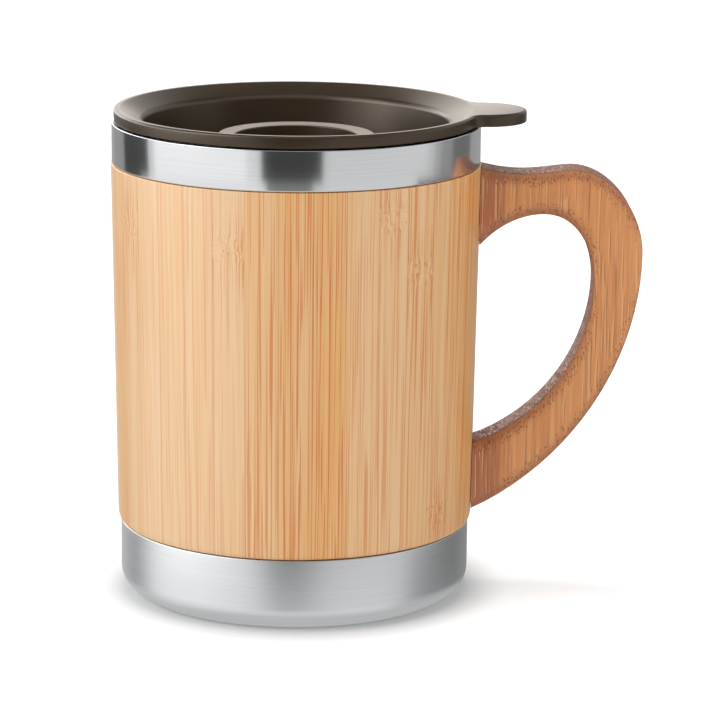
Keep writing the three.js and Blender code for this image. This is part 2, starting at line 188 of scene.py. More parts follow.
staveLook = {
    "staves": 35,
    "seed": 259854,
    "radius": 42.0,
    "pale": colour(236, 199, 154),
    "ochre": colour(230, 167, 88),
    "streak": colour(212, 113, 24),
    "light": colour(244, 214, 172),
    "seam": colour(194, 110, 50),
    # the strongest lines: degrees round from the front to the right, half width and strength
    "rules": [
        (-36.3, 0.2, 0.35), (-26.1, 0.16, 0.5), (-5.9, 0.14, 0.55), (-3.1, 0.2, 0.7), (6.5, 0.15, 0.85),
        (7.3, 0.13, 0.75), (11, 0.12, 0.5), (13.8, 0.17, 0.7), (16.7, 0.16, 0.6), (24, 0.14, 0.5),
    ],
    # joints of the cane: stave counted from the front to the right, and height
    "joints": [(-6, 90.4), (-2, 88.7), (3, 94.8), (4, 82.1), (5, 24.4),
               (9, 61), (12, 35), (15, 88), (17, 30), (-9, 70), (-12, 42), (-15, 57)],
    "swerve": 2.6,  # how far the grain bends aside at a joint
    # how fine each pattern is: round the sleeve, from stave to stave and upwards
    "sway": (0.5, 1, 0.22),
    "broad": (0.35, 1, 0.01),
    "fibre": (3, 1, 0.02),
    "wide": (1.7, 1, 0.012),
    "thin": (3.2, 1, 0.02),
    "bent": (2.5, 1, 0.03),
    "fade": (0.6, 1, 0.045),
    "spots": (1.5, 1, 0.9),
    "meander": (0.05, 0.05, 0.04),
    "apart": 90,  # keeps the patterns of two staves apart
    "beside": 0.4,  # from a dark line to the light one at its side
}


def staveBamboo():
    look = staveLook
    material, shader, place = newFinish("staveBamboo", {"IOR": 1.7})
    x = place.node("SeparateXYZ", {}, {0: place})
    y, z = x.other("Y"), x.other("Z")
    around = x.maths("ARCTAN2", x, 0 - y)  # 0 at the front, with its seam at the back
    across = around * look["radius"]
    count = around * (look["staves"] / math.tau) + 0.5
    stave = count.maths("FLOOR", count)
    edge = abs(count - stave - 0.5) * 2  # 1 at a stave's side
    chance = place.node("TexWhiteNoise", {"noise_dimensions": "1D"}, {"W": stave + look["seed"]})

    joint = nearJoint = 0
    for number, height in look["joints"]:
        here = stave.maths("COMPARE", stave, number, 0.5)
        joint = here * (z.rise(height - 6.5, height - 1.5) - z.rise(height + 0.5, height + 4.5)) + joint
        close = z.rise(height - 17, height - 5) - z.rise(height + 2, height + 11)
        nearJoint = here * close + nearJoint
    straight = place.node("CombineXYZ", {}, {0: across, 1: chance * look["apart"], 2: z})
    sway = straight.scaled(*look["sway"]).noise(2.0)
    aside = across + joint * (sway - 0.5) * look["swerve"]
    grain = place.node("CombineXYZ", {}, {0: aside, 1: chance * look["apart"], 2: z})

    broad = grain.scaled(*look["broad"]).noise(1.0)
    fibre = grain.scaled(*look["fibre"]).noise(3.0, 0.65)
    wide = grain.scaled(*look["wide"]).noise(0.0)
    beside = grain.moved((look["beside"], 0, 0)).scaled(*look["wide"]).noise(0.0)
    thin = grain.scaled(*look["thin"]).moved((5, 3, 7)).noise(0.0)
    bent = grain.scaled(*look["bent"]).moved((1, 6, 2)).noise(0.0)
    fade = grain.scaled(*look["fade"]).moved((2, 8, 1)).noise(1.0).rise(0.4, 0.6)
    spots = grain.scaled(*look["spots"]).noise(1.0)

    tone = chance * 0.75 + broad * 0.9 - 0.33
    body = tone.mix(look["ochre"], look["pale"])
    body = (fibre.rise(0.4, 0.75) * 0.35).mix(body, look["light"])
    body = (fibre.rise(0.45, 0.2) * 0.27).mix(body, look["streak"])
    body = (beside.rise(0.64, 0.74) * fade * 0.4).mix(body, look["light"])
    line = wide.rise(0.65, 0.74) * fade * 0.7
    line = line.maths("MAXIMUM", line, thin.rise(0.6, 0.69) * 0.85) * (1.2 - chance * 0.95)
    line = line.maths("MAXIMUM", line, bent.rise(0.56, 0.66) * nearJoint * 0.65)
    meander = straight.scaled(*look["meander"]).noise(1.0) * 0.8 - 0.4
    for degrees, half, strength in look["rules"]:
        far = abs(across + meander - math.radians(degrees) * look["radius"])
        line = line.maths("MAXIMUM", line, far.rise(half, half * 0.3) * (fade * 0.5 + 0.5) * strength)
    body = line.mix(body, look["streak"])
    seam = edge.rise(0.93, 0.985) * broad.rise(0.36, 0.62) * 0.5
    body = seam.mix(body, look["seam"])
    body = (joint * spots.rise(0.64, 0.72) * 0.5).mix(body, look["seam"])
    body = (joint * spots.rise(0.42, 0.3) * 0.35).mix(body, look["light"])
    feed(shader, {
        "Base Color": body,
        "Roughness": fibre * 0.14 + 0.32,
        "Normal": (fibre * 0.5 + joint * spots * 0.4).bump(0.2, 0.12),
    })
    return material


boardLook = {
    "strip": 6.6,  # width of a lamination across the board
    "first": 40.7,  # where one starts
    "seed": 5.0,
    "caramel": colour(227, 155, 93),
    "red": colour(208, 133, 79),
    # darker lamination beside the sleeve, also painted shade where the handle meets it
    "rootAndShade": colour(178, 108, 74),
    "dark": colour(160, 94, 56),
    "light": colour(240, 185, 124),
    "edge": colour(116, 70, 56),
    "dot": colour(118, 60, 36),
    "rootEnd": 47.4,  # the darker lamination and the painted contact shade beside the sleeve end here
    # how fine each pattern is, along x, y and z
    "broad": (0.4, 0.4, 0.03),
    "bands": (1.1, 1.1, 0.03),
    "fibre": (3.4, 3.4, 0.09),
    "thin": (2.5, 2.5, 0.07),
    "pores": (1.7, 1.7, 0.9),
    "patches": (0.5, 0.5, 0.25),
    "speckle": (2.4, 0.5, 2.4),
    "apart": (70, 70, 70),  # keeps the patterns of two laminations apart
    "beside": 0.3,  # from a dark line to the light one at its side
}


def boardBamboo():
    look = boardLook
    material, shader, place = newFinish("boardBamboo", {"IOR": 1.6})
    x = place.node("SeparateXYZ", {}, {0: place})
    count = (x - look["first"]) / look["strip"]
    strip = count.maths("FLOOR", count)
    edge = abs(count - strip - 0.5) * 2
    chance = place.node("TexWhiteNoise", {"noise_dimensions": "1D"}, {"W": strip + look["seed"]})
    grain = place.moved(chance.other("Color").scaled(*look["apart"]))

    broad = grain.scaled(*look["broad"]).noise(1.0)
    bands = grain.scaled(*look["bands"]).noise(2.0)
    fibre = grain.scaled(*look["fibre"]).noise(3.0, 0.65)
    thin = grain.scaled(*look["thin"]).noise(0.0)
    beside = grain.moved((look["beside"], 0, 0)).scaled(*look["thin"]).noise(0.0)
    pores = grain.node("TexVoronoi", {}, {"Vector": grain.scaled(*look["pores"]), "Scale": 1.0})
    patches = grain.scaled(*look["patches"]).noise(1.0)
    speckle = place.scaled(*look["speckle"]).noise(3.0, 0.65).rise(0.34, 0.66)

    body = (chance * 0.5 + broad * 0.9 - 0.2).mix(look["red"], look["caramel"])
    # darker beside the sleeve: partly a darker lamination, partly painted shade where the handle meets the
    # sleeve
    rootAndShade = (x + fibre * 4).rise(look["rootEnd"] + 3.6, look["rootEnd"] + 0.6)
    body = (rootAndShade * 0.85).mix(body, look["rootAndShade"])
    body = (bands.rise(0.48, 0.3) * 0.35).mix(body, look["dark"])
    body = (bands.rise(0.52, 0.7) * 0.35).mix(body, look["light"])
    body = (fibre.rise(0.45, 0.25) * 0.3).mix(body, look["dark"])
    body = (fibre.rise(0.5, 0.75) * 0.35).mix(body, look["light"])
    body = (thin.rise(0.64, 0.74) * 0.55).mix(body, look["dark"])
    body = (beside.rise(0.63, 0.73) * 0.6).mix(body, look["light"])
    body = (edge.rise(0.94, 0.985) * 0.35).mix(body, look["dark"])

    # the rounded edges and the narrow faces cut across the fibres and show their ends
    half = span("handle")[1].y
    cutEdge = abs(x.other("Y")).rise(half - 0.6, half - 1.1)
    slant = place.node("Attribute", {"attribute_name": "slant"}, out="Fac")
    ends = pores.rise(0.38, 0.2) * patches.rise(0.25, 0.42) * slant.rise(0.01, 0.08)
    body = (slant.rise(0.0, 0.3) * 0.65).mix(body, look["dark"])
    body = (cutEdge * 0.7).mix(body, look["edge"])
    body = (ends * (0.7 - cutEdge * 0.45)).mix(body, look["dot"])
    feed(shader, {
        "Base Color": body,
        "Roughness": fibre * 0.18 + cutEdge * speckle * 0.45 + 0.3,
        "Normal": (fibre * 0.6 - ends * 0.5 - cutEdge * speckle * 0.3).bump(0.25, 0.12),
    })
    return material


plasticLook = {"skin": (3.2, 3.2, 3.2), "flow": (0.05, 0.05, 0.09)}


def mouldedPlastic(name, tint, lighter, roughness, sheen):
    material, shader, place = newFinish(name, {"IOR": 1.6, "Specular Tint": sheen})
    skin = place.scaled(*plasticLook["skin"]).noise(3.0, 0.6)
    flow = place.scaled(*plasticLook["flow"]).noise(2.0)
    feed(shader, {
        "Base Color": (flow * 0.7 + skin * 0.3).rise(0.3, 0.7).mix(tint, lighter),
        "Roughness": (skin - 0.5) * 0.12 + (flow - 0.5) * 0.1 + roughness,
        "Normal": skin.bump(0.12, 0.05),
    })
    return material


bandSteel = brushedSteel("bandSteel", (0.79, 0.8, 0.81, 1), 0.14, 0.04, 0.0015)
footSteel = brushedSteel("footSteel", (0.8, 0.815, 0.825, 1), 0.37, 0.1, 0.006)
cupSteel = brushedSteel("cupSteel", (0.66, 0.67, 0.68, 1), 0.26, 0.12, 0.02)
screwSteel = brushedSteel("screwSteel", (0.5, 0.5, 0.52, 1), 0.3, 0.1, 0.01)
sleeveFinish = staveBamboo()
handleFinish = boardBamboo()
lidPlastic = mouldedPlastic("lidPlastic", colour(47, 35, 20), colour(54, 42, 26), 0.32,
                            (1, 0.88, 0.76, 1))
sealSilicone = mouldedPlastic("sealSilicone", colour(132, 129, 124), colour(146, 143, 138), 0.62,
                              (1, 1, 1, 1))
print("finishes made:", len(bpy.data.materials))


# Modelling helpers

# facets of a turn and of a bend, and how near two points, places or angles count as one
smooth = {"turn": 180, "bend": 8, "merge": 0.001, "same": 1e-7, "sameAngle": 1e-6}


def profile(bm, corners, closed=False):
    # corners are out, up and the round there, and a fourth value stretches the round upwards
    points = [Vector((corner[0], 0, corner[1])) * mm for corner in corners]
    verts = [bm.verts.new(point) for point in points]
    pairs = list(zip(verts, verts[1:]))
    if closed:
        pairs.append((verts[-1], verts[0]))
    for pair in pairs:
        bm.edges.new(pair)
    for i, corner in enumerate(corners):
        if len(corner) < 3:
            continue
        back = points[i - 1] - points[i]
        on = points[(i + 1) % len(points)] - points[i]
        reach = corner[2] * mm / math.tan(back.angle(on) / 2)
        made = bmesh.ops.bevel(bm, geom=[verts[i]], offset=reach, segments=smooth["bend"], profile=0.5,
                               affect="VERTICES", material=-1)
        if len(corner) > 3:
            level = Matrix.Translation((0, 0, -points[i].z))
            bmesh.ops.scale(bm, vec=(1, 1, corner[3]), space=level, verts=made["verts"])


def spinOn(bm, geom, angle, steps, whole=False):
    made = bmesh.ops.spin(bm, geom=geom, cent=(0, 0, 0), axis=(0, 0, 1), angle=angle, steps=steps,
                          use_merge=whole)
    return made["geom_last"]


def tidy(bm):
    bmesh.ops.remove_doubles(bm, verts=bm.verts, dist=smooth["merge"] * mm)
    bmesh.ops.recalc_face_normals(bm, faces=bm.faces)


def turned(corners, steps=smooth["turn"], closed=False):
    bm = bmesh.new()
    profile(bm, corners, closed)
    spinOn(bm, bm.verts[:] + bm.edges[:], math.tau, steps, whole=True)
    tidy(bm)
    return bm


def meshObject(name, bm):
    mesh = bpy.data.meshes.new(name)
    bm.to_mesh(mesh)
    bm.free()
    made = bpy.data.objects.new(name, mesh)
    scene.collection.objects.link(made)
    return made


def joinedBy(first, operation, others):
    # cuts or adds other meshes, keeps the result and removes the tools
    for bm in others:
        tool = meshObject("tool", bm)
        change = first.modifiers.new("change", "BOOLEAN")
        change.operation = operation
        change.solver = "EXACT"
        change.object = tool
        bpy.context.view_layer.update()
        changed = first.evaluated_get(bpy.context.evaluated_depsgraph_get())
        result = bpy.data.meshes.new_from_object(changed)
        first.modifiers.clear()
        first.data = result
        bpy.data.objects.remove(tool)
    return first


def dress(piece, finish, body, node, sharp=32):
    mesh = piece.data
    mesh.materials.clear()
    mesh.materials.append(finish)
    mesh.shade_smooth()
    mesh.set_sharp_from_angle(angle=math.radians(sharp))
    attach(piece, body)
    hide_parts(node)
    print("made", piece.name, len(mesh.polygons), "faces")


def sheetWall(piece, thick, offset):
    wall = piece.modifiers.new("sheet", "SOLIDIFY")
    wall.thickness = thick * mm
    wall.offset = offset
    wall.use_even_offset = True


def block(sizeX, sizeY, low, high, centreX=0.0, corner=0.0):
    # a box between two levels, with its upright edges rounded
    bm = bmesh.new()
    bmesh.ops.create_cube(bm, size=1.0)
    bmesh.ops.scale(bm, vec=Vector((sizeX, sizeY, high - low)) * mm, verts=bm.verts)
    bmesh.ops.translate(bm, vec=Vector((centreX, 0, (low + high) / 2)) * mm, verts=bm.verts)
    if corner:
        half = mm * (high - low) / 2
        upright = [e for e in bm.edges if abs(e.verts[0].co.z - e.verts[1].co.z) > half]
        bmesh.ops.bevel(bm, geom=upright, offset=corner * mm, segments=10, profile=0.5,
                        affect="EDGES", material=-1)
    return bm


# Sleeve

sleeve = {"taper": 1.25, "wall": 3.0, "footIn": 0.65, "footStretch": 3.1, "topEdge": 0.2, "steps": 210}
screws = ["handle_screw_upper", "handle_screw_lower"]
screwHole = {"shank": 0.53, "headDeep": 1.7, "steps": 32}  # shank as a share of the head
sleeveLow, sleeveHigh = span("bamboo_sleeve")


def sleeveR(z):
    return sleeveHigh.x - sleeve["taper"] * (sleeveHigh.z - z) / (sleeveHigh.z - sleeveLow.z)


def screwRoom(node):
    # the countersunk hole round a screw, open towards the axis
    low, high = span(node)
    headR = (high.z - low.z) / 2
    shankR = headR * screwHole["shank"]
    end = high.x - low.x + gap
    bm = turned([
        (0, -sleeve["wall"]), (headR + gap, -sleeve["wall"]), (headR + gap, 0),
        (shankR + gap, screwHole["headDeep"]), (shankR + gap, end), (0, end),
    ], steps=screwHole["steps"])
    bmesh.ops.rotate(bm, cent=(0, 0, 0), matrix=Matrix.Rotation(math.pi / 2, 3, "Y"), verts=bm.verts)
    middle = Vector((low.x, 0, (low.z + high.z) / 2)) * mm
    bmesh.ops.translate(bm, vec=middle, verts=bm.verts)
    return bm


def makeSleeve():
    low, high = sleeveLow.z, sleeveHigh.z
    bm = turned([
        (sleeveR(low) - sleeve["wall"], low),
        (sleeveR(low), low, sleeve["footIn"], sleeve["footStretch"]),
        (sleeveR(high), high, sleeve["topEdge"]),
        (sleeveR(high) - sleeve["wall"], high),
    ], steps=sleeve["steps"], closed=True)
    piece = joinedBy(meshObject("bambooSleeve", bm), "DIFFERENCE", [screwRoom(node) for node in screws])
    dress(piece, sleeveFinish, "cup", "bamboo_sleeve")


# Steel foot, outer wall and inner cup

foot = {"corner": 5.4, "bend": 0.15, "sheet": 0.6}
shell = {"sheet": 0.5, "bend": 0.4, "shoulder": 0.12, "seat": 0.1}
drinkCup = {"sheet": 0.5, "corner": 8.0, "mouthR": 37.58, "mouthLow": 92.6, "shoulder": 2.4,
            "bend": 1.6, "taper": 1.4, "lip": 1.2}
footHigh = span("base_cup")[1]
shellLow, shellHigh = span("outer_shell")
cupLow, cupHigh = span("inner_cup")


def waistR(z):
    return sleeveR(z) - sleeve["wall"] - gap


def makeFoot():
    ledge = sleeveLow.z - gap
    collar = shell["sheet"] + gap
    bm = turned([
        (0, 0),
        (footHigh.x, 0, foot["corner"]),
        (footHigh.x, ledge, foot["bend"]),
        (waistR(ledge) - collar, ledge, foot["bend"]),
        (waistR(footHigh.z) - collar, footHigh.z),
    ])
    piece = meshObject("steelFoot", bm)
    sheetWall(piece, foot["sheet"], -1)
    dress(piece, footSteel, "cup", "base_cup")


def makeShell():
    step = sleeveHigh.z + shell["seat"]
    bm = turned([
        (waistR(shellLow.z), shellLow.z),
        (waistR(step), step, shell["bend"]),
        (shellHigh.x, step, shell["bend"]),
        (shellHigh.x, shellHigh.z, shell["shoulder"]),
        (cupHigh.x + gap, shellHigh.z),
    ])
    piece = meshObject("steelBand", bm)
    sheetWall(piece, shell["sheet"], -1)
    dress(piece, bandSteel, "cup", "outer_shell")


def makeInnerCup():
    floor = cupLow.z + drinkCup["sheet"]
    topR = drinkCup["mouthR"] - drinkCup["shoulder"]
    bm = turned([
        (0, floor),
        (topR - drinkCup["taper"], floor, drinkCup["corner"]),
        (topR, drinkCup["mouthLow"] - drinkCup["shoulder"], drinkCup["bend"]),
        (drinkCup["mouthR"], drinkCup["mouthLow"], drinkCup["bend"]),
        (drinkCup["mouthR"], cupHigh.z, drinkCup["lip"]),
        (cupHigh.x, cupHigh.z),
    ])
    piece = meshObject("innerCup", bm)
    sheetWall(piece, drinkCup["sheet"], 1)
    dress(piece, cupSteel, "cup", "inner_cup")


# Handle

handle = {
    "edge": 3.2,  # how far the rounded edge reaches over the board's sides
    "edgeDeep": 1.1,
    "edgeSteps": 6,
    "rootGap": 0.12,
    "rootNear": 0.005,  # points this close to the cut belong to it
    "steps": 22,
    # curves of the board's outline, out and up: a point, two pulls and the next point
    "outer": [
        ((41.0, 100.4), (52.0, 97.0), (58.3, 99.6), (63.6, 99.6)),
        ((63.6, 99.6), (71.9, 99.6), (79.8, 90.2), (79.8, 79.9)),
        ((79.8, 79.9), (79.8, 56.2), (65.7, 31.3), (41.0, 19.2)),
    ],
    "inner": [
        ((41.0, 35.0), (60.2, 42.2), (68.7, 59.7), (68.7, 73.6)),
        ((68.7, 73.6), (68.7, 79.5), (65.6, 89.3), (57.0, 89.3)),
        ((57.0, 89.3), (50.7, 89.3), (44.5, 85.4), (41.0, 80.3)),
    ],
    "slices": 8,  # cuts across the thickness, for the hollow ends
}
handleLow, handleHigh = span("handle")


def makeHandle():
    thick = handleHigh.y - handleLow.y
    bm = bmesh.new()
    outline = []
    for part in ("outer", "inner"):
        for i, curve in enumerate(handle[part]):
            points = [Vector((x, handleLow.y, z)) * mm for x, z in curve]
            drawn = interpolate_bezier(*points, handle["steps"])
            outline += drawn[1 if i else 0:]

    # cut the ends to the sleeve's slope, then raise the board
    rootGap = handle["rootGap"]
    rootTop = Vector((sleeveR(sleeveHigh.z) + rootGap, 0, sleeveHigh.z)) * mm
    rootLow = Vector((sleeveR(sleeveLow.z) + rootGap, 0, sleeveLow.z)) * mm
    slope = rootTop - rootLow
    away = Vector((slope.z, 0, -slope.x)).normalized()
    kept = []
    for point, after in zip(outline, outline[1:] + outline[:1]):
        here, there = (point - rootLow).dot(away), (after - rootLow).dot(away)
        if here >= 0:
            kept.append(point)
        if here * there < 0:
            kept.append(point.lerp(after, here / (here - there)))
    bm.faces.new([bm.verts.new(point) for point in kept])
    raised = bmesh.ops.extrude_face_region(bm, geom=bm.faces[:])
    grown = [v for v in raised["geom"] if isinstance(v, bmesh.types.BMVert)]
    bmesh.ops.translate(bm, vec=(0, thick * mm, 0), verts=grown)
    bmesh.ops.recalc_face_normals(bm, faces=bm.faces)

    def atRoot(vert):
        return abs((vert.co - rootLow).dot(away)) < handle["rootNear"] * mm

    level = [e for e in bm.edges if abs(e.verts[0].co.y - e.verts[1].co.y) < smooth["same"]]
    sides = [e for e in level if not all(atRoot(v) for v in e.verts)]
    bmesh.ops.bevel(bm, geom=sides, offset=handle["edge"] * mm, segments=handle["edgeSteps"], profile=0.5,
                    affect="EDGES", material=-1)
    flatter = handle["edgeDeep"] / handle["edge"]
    for vert in bm.verts:
        deep = handleHigh.y * mm - abs(vert.co.y)
        vert.co.y = math.copysign(handleHigh.y * mm - deep * flatter, vert.co.y)
    bm.normal_update()
    slant = bm.verts.layers.float.new("slant")
    for vert in bm.verts:
        vert[slant] = abs(vert.normal.z)
    inside = thick - 2 * handle["edgeDeep"]
    for i in range(1, handle["slices"]):
        cutAt = handleLow.y + handle["edgeDeep"] + inside * i / handle["slices"]
        bmesh.ops.bisect_plane(bm, geom=bm.faces[:] + bm.edges[:] + bm.verts[:],
                               plane_co=(0, cutAt * mm, 0), plane_no=(0, 1, 0), dist=smooth["same"])
    for vert in bm.verts:
        if atRoot(vert):
            r = (sleeveR(vert.co.z / mm) + rootGap) * mm
            vert.co.x = math.sqrt(r * r - vert.co.y ** 2)
    piece = joinedBy(meshObject("bambooHandle", bm), "DIFFERENCE", [screwRoom(node) for node in screws])
    dress(piece, handleFinish, "cup", "handle", sharp=28)


# Lid

lid = {
    "flange": 110.2, "inset": 0.4, "edge": 0.6, "crestFlat": 0.7, "lipDrop": 2.6,
    "dishR": 34.98, "dishFloor": 99.3, "dishFloorR": 33.98, "dishFillet": 1.2, "dishEdge": 1.7,
    "floor": 1.8, "floorFillet": 0.5, "skirtEdge": 0.3, "crestEdge": 0.6,
    "plugR": 36.78, "plugChamfer": 0.8, "plugEdge": 0.4, "hubHole": 4.3, "hubEdge": 0.3,
    "grooveLow": 100.2, "grooveHigh": 103.2, "grooveR": 35.78, "grooveEdge": 0.15,
    "tabHalf": 9.8, "tabFillet": 3.0, "tabSpan": 30.0, "tabSteps": 72, "roundSteps": 150,
    "slotX": -26.8, "slotLong": 12.0, "slotWide": 5.4,
}
lidLow, lidHigh = span("lid_body")
sealLow, sealHigh = span("lid_seal")


def tabEdge(u):
    # a point on the flange's outline and the way out there, for u from -1 to 1 over the tab's sector
    lidR = lidHigh.y - lid["inset"]
    fillet = lid["tabFillet"]
    cornerY = lid["tabHalf"] + fillet
    cornerX = math.sqrt((lidR + fillet) ** 2 - cornerY ** 2)
    turn = math.atan2(cornerY, cornerX)
    side = math.copysign(1, u)
    share = abs(u)
    tipShare, filletShare = 0.5, 0.7
    if share < tipShare:
        a = math.pi / 2 * share / tipShare
        long = lidHigh.x - cornerX
        point = Vector((cornerX + long * math.cos(a), lid["tabHalf"] * math.sin(a)))
        out = Vector((math.cos(a) / long, math.sin(a) / lid["tabHalf"])).normalized()
    elif share < filletShare:
        a = -math.pi / 2 - (math.pi / 2 - turn) * (share - tipShare) / (filletShare - tipShare)
        out = -Vector((math.cos(a), math.sin(a)))
        point = Vector((cornerX, cornerY)) - fillet * out
    else:
        end = math.radians(lid["tabSpan"])
        a = turn + (end - turn) * (share - filletShare) / (1 - filletShare)
        out = Vector((math.cos(a), math.sin(a)))
        point = lidR * out
    point.y *= side
    out.y *= side
    return point, out


def shapeTab(bm):
    # draws the flange's edge out into the thumb tab
    half = math.radians(lid["tabSpan"])
    lidR = lidHigh.y - lid["inset"]
    for vert in bm.verts:
        r = math.hypot(vert.co.x, vert.co.y) / mm
        a = math.atan2(vert.co.y, vert.co.x)
        if abs(a) > half + smooth["sameAngle"]:
            continue
        point, out = tabEdge(max(-1, min(1, a / half)))
        inward = lidR - r
        deep = inward > lid["edge"] + smooth["merge"]
        place = point.normalized() * r if deep else point - out * inward
        vert.co.x = place.x * mm
        vert.co.y = place.y * mm


def makeLid():
    lidR, crest, under = lidHigh.y - lid["inset"], lidHigh.z, lidLow.z
    floorUnder = lid["dishFloor"] - lid["floor"]
    plugEdge, grooveEdge = lid["plugEdge"], lid["grooveEdge"]
    half = math.radians(lid["tabSpan"])
    bm = bmesh.new()
    profile(bm, [
        (lid["hubHole"], floorUnder),
        (lid["dishR"], floorUnder, lid["floorFillet"]),
        (lid["dishR"], under, lid["skirtEdge"]),
        (lid["plugR"] - lid["plugChamfer"], under, plugEdge),
        (lid["plugR"], under + lid["plugChamfer"], plugEdge),
        (lid["plugR"], lid["grooveLow"], grooveEdge),
        (lid["grooveR"], lid["grooveLow"], grooveEdge),
        (lid["grooveR"], lid["grooveHigh"], grooveEdge),
        (lid["plugR"], lid["grooveHigh"], grooveEdge),
        (lid["plugR"], lid["flange"], lid["edge"]),
        (lidR, lid["flange"], lid["edge"] / 2),
        (lidR, crest, lid["edge"]),
        (lidR - lid["edge"] - lid["crestFlat"], crest, lid["crestEdge"]),
        (lid["dishR"], crest - lid["lipDrop"], lid["dishEdge"]),
        (lid["dishFloorR"], lid["dishFloor"], lid["dishFillet"]),
        (lid["hubHole"], lid["dishFloor"], lid["hubEdge"]),
    ], closed=True)
    wire = bm.verts[:] + bm.edges[:]
    bmesh.ops.rotate(bm, cent=(0, 0, 0), matrix=Matrix.Rotation(-half, 3, "Z"), verts=bm.verts)
    last = spinOn(bm, wire, 2 * half, lid["tabSteps"])
    spinOn(bm, last, math.tau - 2 * half, lid["roundSteps"])
    tidy(bm)
    shapeTab(bm)
    slot = block(lid["slotWide"], lid["slotLong"], floorUnder - past, lid["dishFloor"] + past, lid["slotX"],
                 lid["slotWide"] / 2 - hair)
    piece = joinedBy(meshObject("lidBody", bm), "DIFFERENCE", [slot])
    dress(piece, lidPlastic, "lid", "lid_body")


seal = {"edge": 0.2, "waist": 0.6, "waistRound": 0.3, "lip": 0.35, "lipRound": 0.15}


def makeSeal():
    inner = lid["grooveR"] + gap
    outer = sealHigh.x
    waist = outer - seal["waist"]
    low, high = sealLow.z, sealHigh.z
    bm = turned([
        (inner, low, seal["edge"]),
        (waist, low),
        (outer, low + seal["lip"], seal["lipRound"]),
        (waist, (low + high) / 2, seal["waistRound"]),
        (outer, high - seal["lip"], seal["lipRound"]),
        (waist, high),
        (inner, high, seal["edge"]),
    ], closed=True)
    dress(meshObject("lidSeal", bm), sealSilicone, "lid", "lid_seal")


# Dial and shutter

dial = {
    "inset": 1.7, "raised": 0.4,  # the ring's outer edge, in from the solid's and above it
    "ring": 3.7, "fall": 0.4,  # width of the ring's top, and its slope inwards
    "wall": 1.3, "under": 99.6, "plate": 1.4, "edge": 0.3, "footEdge": 0.3, "plateFillet": 0.8,
    "barWide": 5.0, "barDrop": 1.0, "barEdge": 1.0, "barSink": 0.2,
    "hubR": 4.0, "hubEdge": 0.2, "square": 5.4,
    "snap": 1.6, "snapLip": 0.5, "snapTaper": 1.0, "snapEdge": 0.15, "snapSteps": 64,
    "snapSlot": 1.2, "snapSlotEnd": 0.1,  # the slot's width, and its end below the shutter's top
}
shutter = {"margin": 0.8, "edge": 0.3}
dialLow, dialHigh = span("turn_dial")
shutterLow, shutterHigh = span("shutter_disc")


def makeDial():
    ringR = dialHigh.x - dial["inset"]
    top, under = dialHigh.z + dial["raised"], dial["under"]
    inner = ringR - dial["ring"]
    wall, footEdge = dial["wall"], dial["footEdge"]
    plate = under + dial["plate"]
    hubLow = shutterHigh.z + gap / 2
    snapR = (dial["square"] / 2 + gap) * math.sqrt(2) + dial["snapLip"]
    snapTop = dialLow.z + dial["snap"]
    bm = turned([
        (0, hubLow),
        (dial["hubR"], hubLow, dial["hubEdge"]),
        (dial["hubR"], under),
        (inner + wall, under, footEdge),
        (inner + wall, top - wall),
        (ringR - wall, top - wall),
        (ringR - wall, under, footEdge),
        (ringR, under, footEdge),
        (ringR, top, dial["edge"]),
        (inner, top - dial["fall"], dial["edge"]),
        (inner, plate, dial["plateFillet"]),
        (0, plate),
    ])
    length = 2 * inner + wall
    barTop = top - dial["barDrop"]
    bar = block(length, dial["barWide"], under + dial["barSink"], barTop)
    upper = [e for e in bar.edges if all(v.co.z > (barTop - hair) * mm for v in e.verts)]
    ridge = [e for e in upper if abs(e.verts[0].co.x - e.verts[1].co.x) > length * mm / 2]
    bmesh.ops.bevel(bar, geom=ridge, offset=dial["barEdge"] * mm, segments=6, profile=0.5,
                    affect="EDGES", material=-1)
    drive = block(dial["square"], dial["square"], dialLow.z + dial["snap"] / 2, hubLow + gap)
    snap = turned([
        (0, dialLow.z),
        (snapR - dial["snapTaper"], dialLow.z, dial["hubEdge"]),
        (snapR, snapTop, dial["snapEdge"]),
        (0, snapTop),
    ], steps=dial["snapSteps"])
    slotTop = shutterHigh.z - dial["snapSlotEnd"]
    cut = block(dial["snapSlot"], 4 * snapR, dialLow.z - past, slotTop)
    piece = joinedBy(meshObject("turnDial", bm), "UNION", [bar, drive, snap])
    joinedBy(piece, "DIFFERENCE", [cut])
    dress(piece, lidPlastic, "dial", "turn_dial")


def makeShutter():
    low, high = shutterLow.z, shutterHigh.z
    outer, edge, margin = shutterHigh.x, shutter["edge"], shutter["margin"]
    bm = turned([(0, low), (outer, low, edge), (outer, high, edge), (0, high)])
    wide = lid["slotWide"] + margin
    slot = block(wide, lid["slotLong"] + margin, low - past, high + past, lid["slotX"], wide / 2 - hair)
    drive = block(dial["square"] + 2 * gap, dial["square"] + 2 * gap, low - past, high + past)
    piece = joinedBy(meshObject("shutterDisc", bm), "DIFFERENCE", [slot, drive])
    dress(piece, lidPlastic, "dial", "shutter_disc")


makeSleeve()
makeFoot()
makeShell()
makeInnerCup()
makeHandle()
makeLid()
makeSeal()
makeDial()
makeShutter()
for node in screws:  # hidden, so the solids stay
    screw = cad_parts[node]
    screw.data.materials.clear()
    screw.data.materials.append(screwSteel)


# Studio: pale floor, white background, flags that darken the steel's reflections, and soft lamps

